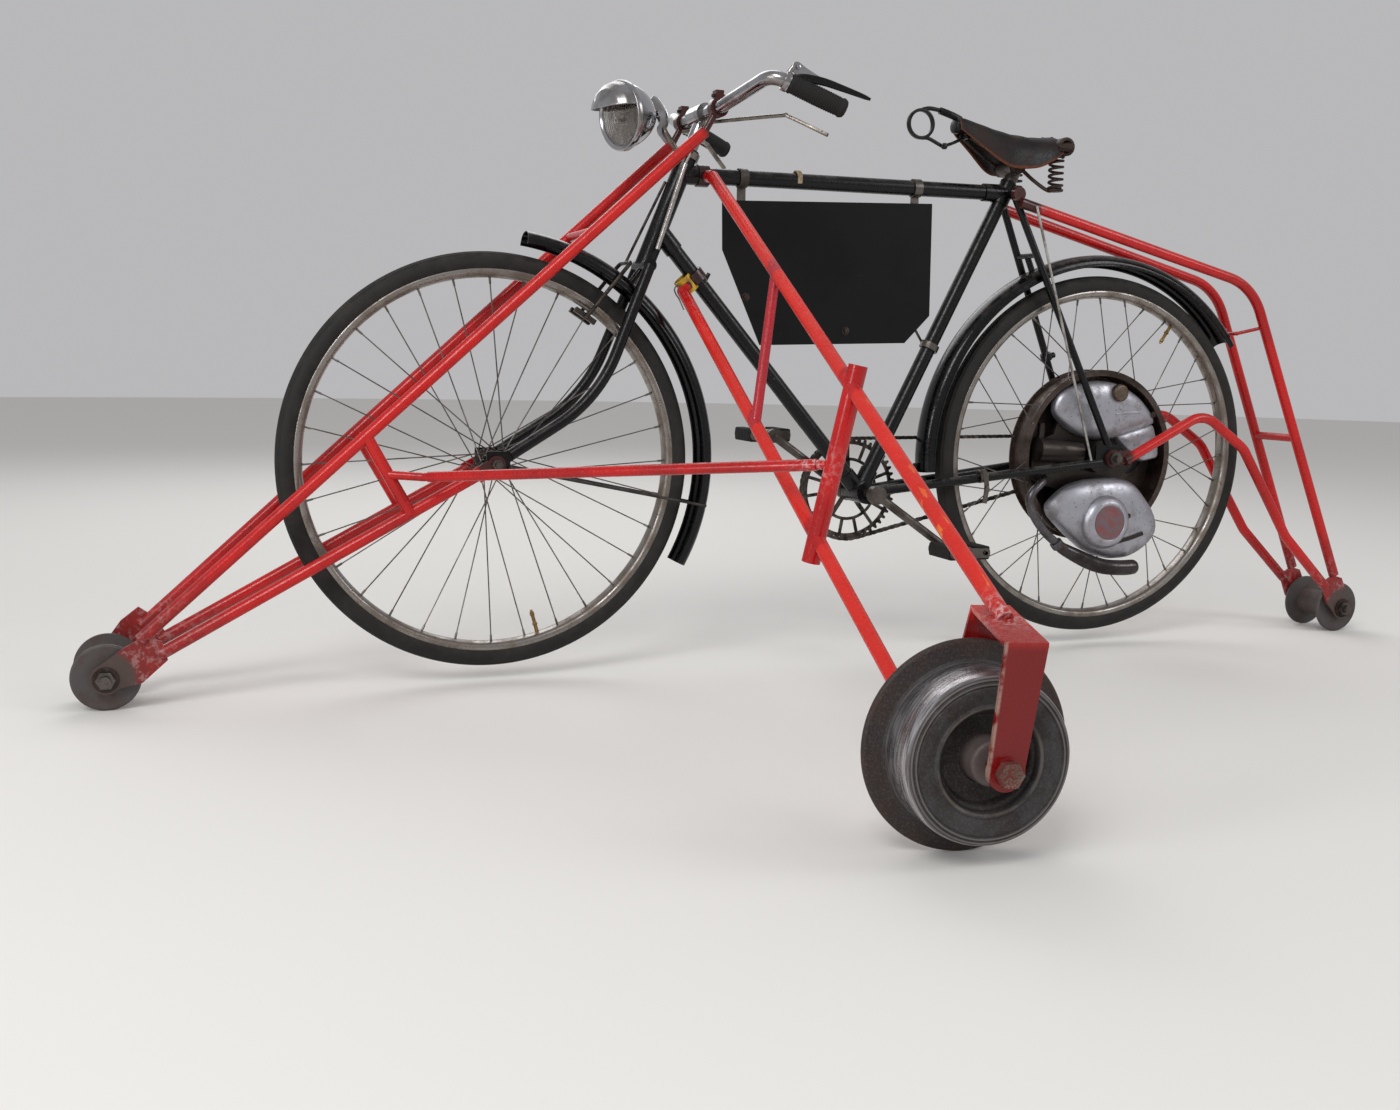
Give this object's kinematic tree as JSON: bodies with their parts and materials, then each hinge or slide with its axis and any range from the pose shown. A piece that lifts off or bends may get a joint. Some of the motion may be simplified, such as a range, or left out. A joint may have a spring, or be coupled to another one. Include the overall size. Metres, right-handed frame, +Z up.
{
  "type": "rail bike",
  "caption": "Roadster bicycle set on rails: motor in the rear hub, flanged guide rollers front and rear, and a tubular outrigger to a flanged wheel on the other rail.",
  "frame": {"origin": "on top of the rail that the bicycle runs on, on the rail's centreline, straight under the front axle", "axes": "+X along the rail to the bicycle's rear, +Y away from the outrigger, square to the rails, +Z up"},
  "size_m": [2.566, 1.4238, 1.0319],
  "materials": {
    "black_enamel": "worn gloss black enamel",
    "red_paint": "brushed red gloss paint, scuffed to orange and grey",
    "dull_steel": "dull oiled steel",
    "rusty_steel": "steel browned by rust and old grease",
    "chrome": "aged chrome plate",
    "rim_steel": "dulled chrome plate with rust freckles",
    "motor_silver": "satin silver paint on castings",
    "motor_dark": "oily dark castings",
    "chain_steel": "oily dark steel",
    "cast_wheel": "turned grey iron with a polished tread",
    "lens_glass": "clear pressed glass",
    "tyre": "dusty black rubber",
    "black_grip": "black rubber",
    "saddle_leather": "worn dark brown leather"
  },
  "bodies": {
    "carriage": {"main_frame": "black_enamel", "fork": "black_enamel", "front_axle": "dull_steel", "rear_axle": "dull_steel", "motor_core": "motor_dark", "motor_tank": "motor_silver", "motor_cover": "motor_silver", "exhaust": "motor_dark", "chain": "chain_steel", "handlebar": "chrome", "grips": "black_grip", "seat_post": "dull_steel", "saddle": "saddle_leather", "saddle_frame": "rusty_steel", "headlamp": "chrome", "lamp_lens": "lens_glass", "lamp_bracket": "chrome", "hand_levers": "chrome", "front_brake": "chrome", "stays": "dull_steel", "sign_clips": "dull_steel", "front_mudguard": "black_enamel", "rear_mudguard": "black_enamel", "sign_plate": "black_enamel", "front_guide": "red_paint", "rear_guide": "red_paint", "roller_axles": "dull_steel", "outrigger_frame": "red_paint", "outrigger_axle": "dull_steel", "tie_bar": "red_paint"},
    "front_wheel": {"front_tyre": "tyre", "front_rim": "rim_steel", "front_hub": "dull_steel", "front_spokes": "dull_steel"},
    "rear_wheel": {"rear_tyre": "tyre", "rear_rim": "rim_steel", "rear_drum": "rusty_steel", "rear_spokes": "dull_steel", "rear_sprocket": "chain_steel"},
    "outrigger_wheel": {"outrigger_wheel": "cast_wheel"},
    "front_roller": {"front_roller": "cast_wheel"},
    "rear_roller": {"rear_roller": "cast_wheel"},
    "crankset": {"crankset": "dull_steel", "chainring": "chain_steel"},
    "pedal_left": {"pedal_left": "black_grip"},
    "pedal_right": {"pedal_right": "black_grip"}
  },
  "joints": [
    {"name": "front_wheel_spin", "type": "hinge", "parent": "carriage", "child": "front_wheel", "pos_m": [0, 0, 0.3555], "axis": [0, 1, 0], "continuous": true},
    {"name": "rear_wheel_spin", "type": "hinge", "parent": "carriage", "child": "rear_wheel", "pos_m": [1.225, 0, 0.3555], "axis": [0, 1, 0], "continuous": true},
    {"name": "outrigger_wheel_spin", "type": "hinge", "parent": "carriage", "child": "outrigger_wheel", "pos_m": [0.34, -1.054, 0.101], "axis": [0.1219, 0.9925, 0], "continuous": true},
    {"name": "front_roller_spin", "type": "hinge", "parent": "carriage", "child": "front_roller", "pos_m": [-0.62, 0, 0.027], "axis": [0, 1, 0], "continuous": true},
    {"name": "rear_roller_spin", "type": "hinge", "parent": "carriage", "child": "rear_roller", "pos_m": [1.84, 0, 0.027], "axis": [0, 1, 0], "continuous": true},
    {"name": "crank_spin", "type": "hinge", "parent": "carriage", "child": "crankset", "pos_m": [0.706, 0, 0.293], "axis": [0, 1, 0], "continuous": true},
    {"name": "pedal_left_spin", "type": "hinge", "parent": "crankset", "child": "pedal_left", "pos_m": [0.85269, -0.128, 0.19218], "axis": [0, 1, 0], "continuous": true},
    {"name": "pedal_right_spin", "type": "hinge", "parent": "crankset", "child": "pedal_right", "pos_m": [0.55931, 0.126, 0.39382], "axis": [0, 1, 0], "continuous": true}
  ]
}
